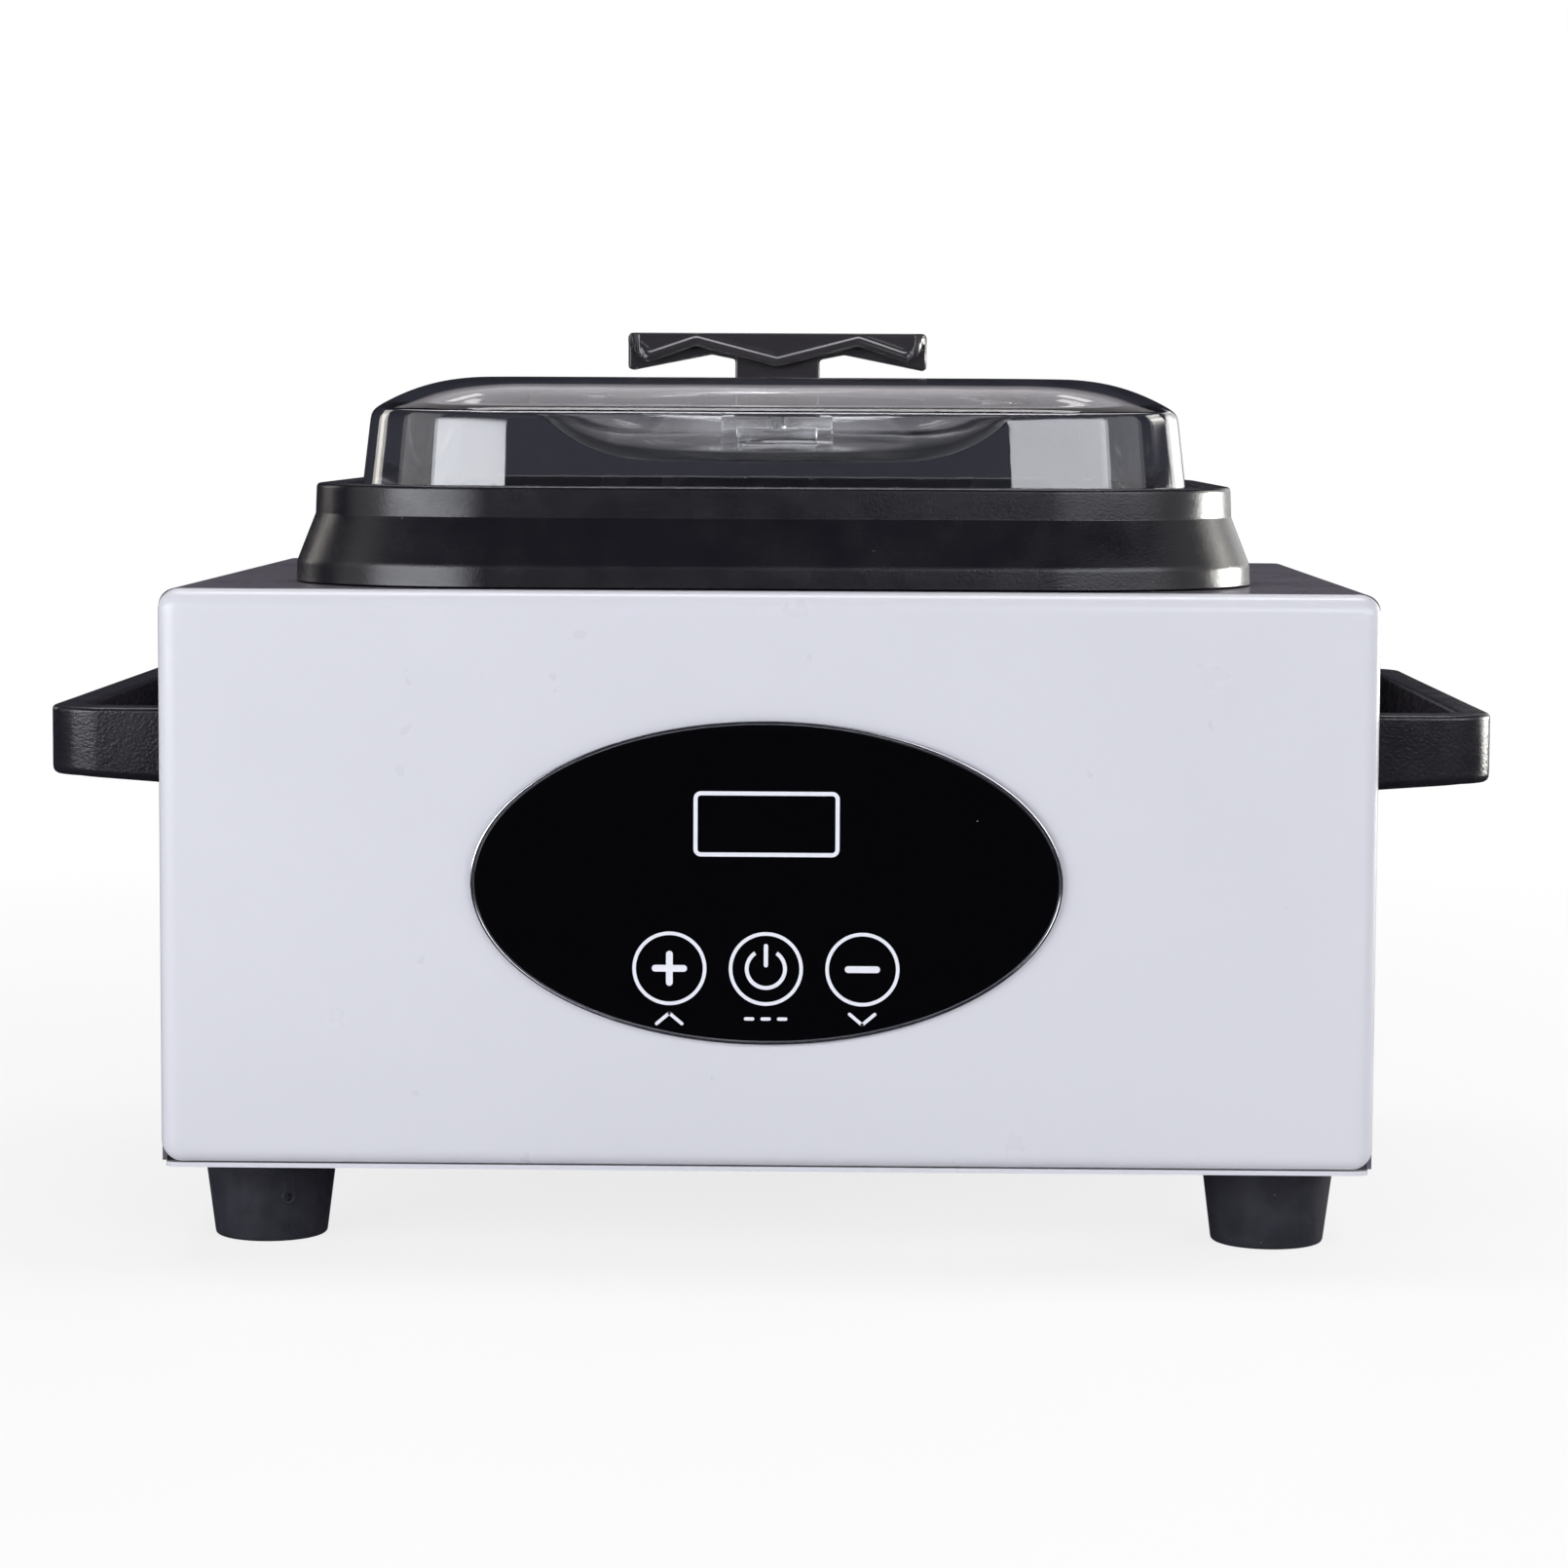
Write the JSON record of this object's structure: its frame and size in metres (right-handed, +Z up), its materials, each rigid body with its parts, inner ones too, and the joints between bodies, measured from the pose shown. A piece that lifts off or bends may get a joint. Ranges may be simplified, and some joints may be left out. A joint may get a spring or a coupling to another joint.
{
  "type": "paraffin wax bath",
  "caption": "Heated paraffin wax tank in a sheet-metal case with a clear lift-off lid, moulded collar, side handles and an oval touch panel.",
  "frame": {"origin": "on the surface the feet stand on, under the centre of the case", "axes": "+X to the right seen from the front, +Y to the rear, +Z up; the control panel faces -Y"},
  "size_m": [0.373, 0.2432, 0.2396],
  "materials": {
    "white_paint": "gloss white baked enamel",
    "black_paint": "gloss dark grey baked enamel",
    "bare_steel": "galvanised sheet",
    "black_plastic": "fine moulded texture",
    "gloss_black": "polished black",
    "clear_plastic": "clear moulded",
    "tank_aluminium": "drawn and anodised, satin",
    "silicone": "silicone seal",
    "felt": "insulating felt",
    "mica": "mica heater plate",
    "trim_silver": "bright ring",
    "circuit_green": "glass-fibre circuit board",
    "module_black": "moulded housing",
    "relay_blue": "moulded housing",
    "terminal_green": "moulded housing",
    "screw_steel": "plated steel",
    "foot_rubber": "moulded rubber",
    "lead_red": "silicone-sleeved lead",
    "lead_white": "insulated lead",
    "brass": "plain brass"
  },
  "bodies": {
    "case": {"case_cover": "black_paint", "front_panel": "white_paint", "rear_panel": "black_paint", "base_plate": "white_paint", "collar": "black_plastic", "tank_gasket": "silicone", "wax_tank": "tank_aluminium", "insulation_jacket": "felt", "heater_plate": "mica", "heater_clamp": "bare_steel", "clamp_nut": "screw_steel", "thermal_cutoff": "module_black", "temperature_probe": "brass", "panel_trim": "trim_silver", "control_panel": "gloss_black", "control_board": "circuit_green", "display_module": "module_black", "buzzer": "module_black", "board_screw_lower_left": "screw_steel", "board_screw_lower_right": "screw_steel", "board_screw_upper_left": "screw_steel", "board_screw_upper_right": "screw_steel", "touch_spring_plus": "screw_steel", "touch_spring_power": "screw_steel", "touch_spring_minus": "screw_steel", "power_board": "circuit_green", "power_module": "module_black", "heater_relay": "relay_blue", "fuse_holder": "module_black", "terminal_block": "terminal_green", "power_inlet": "black_plastic", "inlet_screw_left": "screw_steel", "inlet_screw_right": "screw_steel", "inlet_lead": "lead_white", "heater_lead": "lead_red", "probe_lead": "lead_white", "panel_cable": "lead_white", "handle_left": "black_plastic", "handle_right": "black_plastic", "handle_screw_left_front": "screw_steel", "handle_screw_left_rear": "screw_steel", "handle_screw_right_front": "screw_steel", "handle_screw_right_rear": "screw_steel", "foot_front_left": "foot_rubber", "foot_front_right": "foot_rubber", "foot_rear_left": "foot_rubber", "foot_rear_right": "foot_rubber", "foot_screw_front_left": "screw_steel", "foot_screw_front_right": "screw_steel", "foot_screw_rear_left": "screw_steel", "foot_screw_rear_right": "screw_steel", "rear_screw_lower_left": "screw_steel", "rear_screw_lower_right": "screw_steel", "rear_screw_upper_left": "screw_steel", "rear_screw_upper_right": "screw_steel", "earth_stud": "brass"},
    "lid": {"lid_shell": "clear_plastic", "lid_knob": "gloss_black", "knob_screw": "screw_steel"}
  },
  "joints": [
    {"name": "lid_lift", "type": "slide", "parent": "case", "child": "lid", "axis": [0, 0, 1], "range_m": [0, 0.12]}
  ]
}
